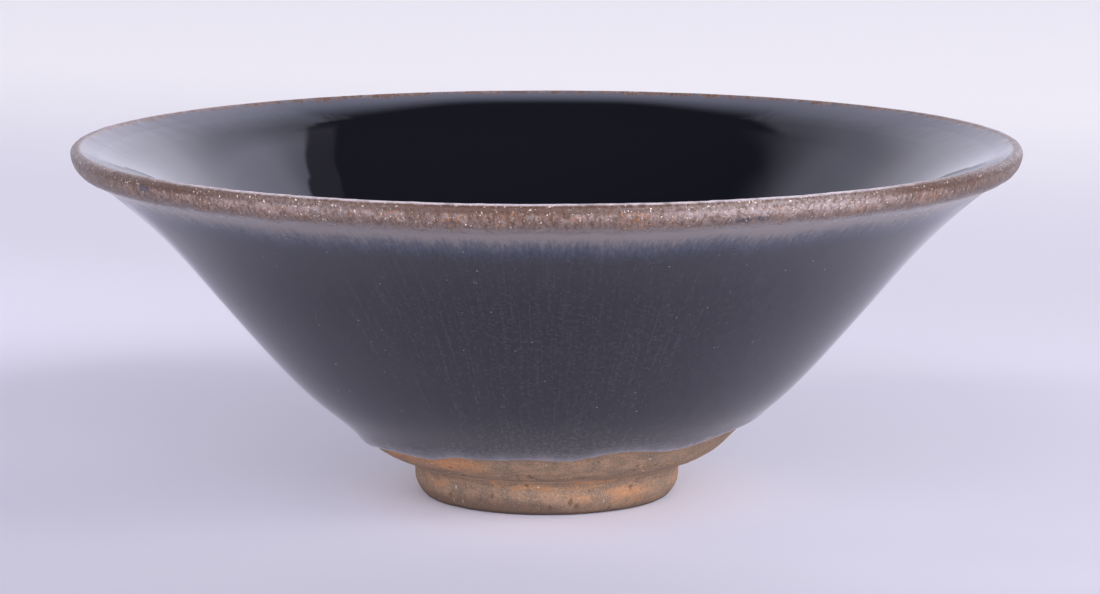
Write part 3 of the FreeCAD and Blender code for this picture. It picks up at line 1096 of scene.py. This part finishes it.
def bare_clay_finish():
    """Stoneware without glaze: grey brown to orange, ringed, gritty and dull."""
    material, shader = finish("bare_clay")
    place = in_mm()
    rings = cloud(vectors("MULTIPLY", place, (0.16, 0.16, 1.0)), 0.50, 3.0, 0.6)
    patch = cloud(place, 2.2, 3.0, 0.6, 1.0)
    grain = cloud(place, 0.30, 3.0, 0.7, 3.0)
    speck = cloud(place, 0.16, 2.0, 0.6, 5.0)
    pits_grains_and_fillet_light, flash_and_painted_light = mark_of("pits_grains_and_fillet_light"), mark_of("flash_and_painted_light")
    _, _, height = parted(place)
    ragged = add_part(rings, 0.5, sums("ADD", flash_and_painted_light, -0.65))
    ragged = add_part(patch, 0.8, ragged)
    smoke_and_shade_share = add_part(patch, 0.5, sums("ADD", flash_and_painted_light, -0.25))

    give(shader.inputs["Base Color"], layered(
        clay_grey, (patch, 0.34, 0.66, clay_tan), (ragged, 0.12, 0.85, 0.0, 0.85, clay_orange),
        # greyed by smoke, and by painted shade at the front left
        (smoke_and_shade_share, -0.75, 0.0, 0.6, 0.0, clay_dark_and_painted_shade), (rings, 0.52, 0.75, 0.0, 0.3, clay_dark_and_painted_shade),
        (grain, 0.34, 0.56, 0.42, 0.0, clay_dark_and_painted_shade), (speck, 0.52, 0.70, 0.0, 0.35, pale_grain_and_fillet_light),
        # pits darker, grains paler, and painted light over the fillet
        (pits_grains_and_fillet_light, -0.7, -0.15, 0.7, 0.0, clay_dark_and_painted_shade), (pits_grains_and_fillet_light, 0.25, 0.8, 0.0, 0.7, pale_grain_and_fillet_light),
        # painted shade: darker towards the table, under the foot's edge
        (height, 0.15, 0.75, 0.8, 0.0, clay_dark_and_painted_shade), (height, 0.6, 3.4, 0.48, 0.0, clay_dark_and_painted_shade)))
    give(shader.inputs["Roughness"], ramp(patch, 0.3, 0.7, 0.78, 0.93))
    give(shader.inputs["Specular IOR Level"], 0.3)

    relief = add_part(grain, 0.10, times(rings, 0.06))
    emboss(add_part(speck, 0.05, relief), shader)
    return material


bare_clay = bare_clay_finish()
print("the bare clay has", len(bare_clay.node_tree.nodes), "nodes")

# %% [markdown]
# ## Clay bowl
# Most of the clay lies under glaze and stays plain. The band between the foot and the hem shows,
# so its rows are close and carry the roughness, which fades out under the glaze.

# %% Turn the clay bowl
bare_to = 12.0
base = np.linspace(hub, foot_radius - 0.3, 6)
distance = rows_at(legs(0, (bare_to, 66), (join_low, 10), (join_high, 14), (hub_at, 10)), clay_turns)
places = off_clay(distance, clay_turns)
lift, pits_grains_and_fillet_light = clay_lift(distance, places)
shown = 1 - ease(distance, bare_to - 1.5, bare_to)
clay_rows = off_clay(distance, clay_turns, lift * shown)
base_rows = go_round(base, np.full(len(base), shoulder_height), clay_turns)
plain = np.zeros(base_rows.shape[:2])
bare_marks = {"pits_grains_and_fillet_light": np.concatenate([plain, pits_grains_and_fillet_light * shown]),
              "flash_and_painted_light": np.concatenate([plain, flash_and_painted_light_of(distance, places)])}
bowl_rows = np.concatenate([base_rows, clay_rows])
turn_piece("clay_body", bowl_rows, bare_marks, "clay_bowl", bare_clay, poles=True)

# %% [markdown]
# ## Turned foot
# The foot is a low ring with a bevel round its bottom edge and a shallow recess cut into it. Its
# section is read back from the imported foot, in order round a point inside the ring, and its
# corners are softened a little, because every table it stood on wore them.

# %% Read the foot's section
inside_ring = (15.0, 3.5)
foot_gap = 0.02
foot_softened = 7
above_table = 0.012


def foot_section():
    """The foot's section from the middle of the recess to the middle of its top."""
    radius, height, _ = folded("turned_foot")
    line = softened(evenly(in_order(radius, height, inside_ring, foot_gap), step), foot_softened)
    return np.maximum(line, (-np.inf, above_table))


foot_line = foot_section()
foot_run = run_of(foot_line)
top_corner = int(np.argmax(foot_line[:, 0] + foot_line[:, 1]))
corner_at = foot_run[top_corner]
print("foot section", len(foot_line), "points; top corner", foot_line[top_corner].round(2),
      "lowest", round(foot_line[:, 1].min(), 3))

# %% [markdown]
# The tool left no sharp corner where the foot meets the bowl. A fillet bends from straight up
# the foot's side until it lies along the bowl.

# %% Round the corner under the bowl
fillet_radius = 1.9
shoulder_out, shoulder_up = on_section(np.array([0.0, fillet_radius]))
fillet_turn = math.pi / 2 - math.atan2(np.ptp(shoulder_up), np.ptp(shoulder_out))
fillet_reach = fillet_radius * math.tan(fillet_turn / 2)
fillet_from = corner_at - fillet_reach
close_from = 11.0
foot_steps = legs(hub, (close_from, 16), (fillet_from, 86), (corner_at, 20), (foot_run[-1] - hub, 6))
radius, height = read_at(foot_steps, foot_run, foot_line)
out, up = read_at(foot_steps, foot_run, outward_of(foot_line, foot_run))
from_top = foot_steps - corner_at
in_fillet = (from_top > -fillet_reach) & (from_top < tiny)
bend = np.clip(1 + from_top / fillet_reach, 0, 1) * fillet_turn
radius = np.where(in_fillet, foot_radius + fillet_radius * (1 - np.cos(bend)), radius)
height = np.where(in_fillet, shoulder_height - fillet_reach + fillet_radius * np.sin(bend), height)
out, up = np.where(in_fillet, np.cos(bend), out), np.where(in_fillet, -np.sin(bend), up)
print("the fillet turns", round(math.degrees(fillet_turn), 1), "degrees over", round(2 * fillet_reach, 2), "mm")

# %% [markdown]
# The foot is roughened like the band above it. Its top, hidden under the bowl, stays flat.

# %% Turn the foot
lowest_worn = 0.004
from_top = np.where(in_fillet, 2 * from_top + fillet_reach, from_top)
distance = rows_at(from_top, clay_turns)
places = go_round(radius, height, clay_turns)
lift, pits_grains_and_fillet_light = clay_lift(distance, places)
lift[foot_steps > corner_at + tiny] = 0
worn_height = np.maximum(height[:, None] + lift * up[:, None], lowest_worn)
foot_rows = go_round(radius[:, None] + lift * out[:, None], worn_height, clay_turns)
foot_marks = {"pits_grains_and_fillet_light": pits_grains_and_fillet_light, "flash_and_painted_light": flash_and_painted_light_of(distance, places)}
turn_piece("foot_ring", foot_rows, foot_marks, "turned_foot", bare_clay, poles=True)
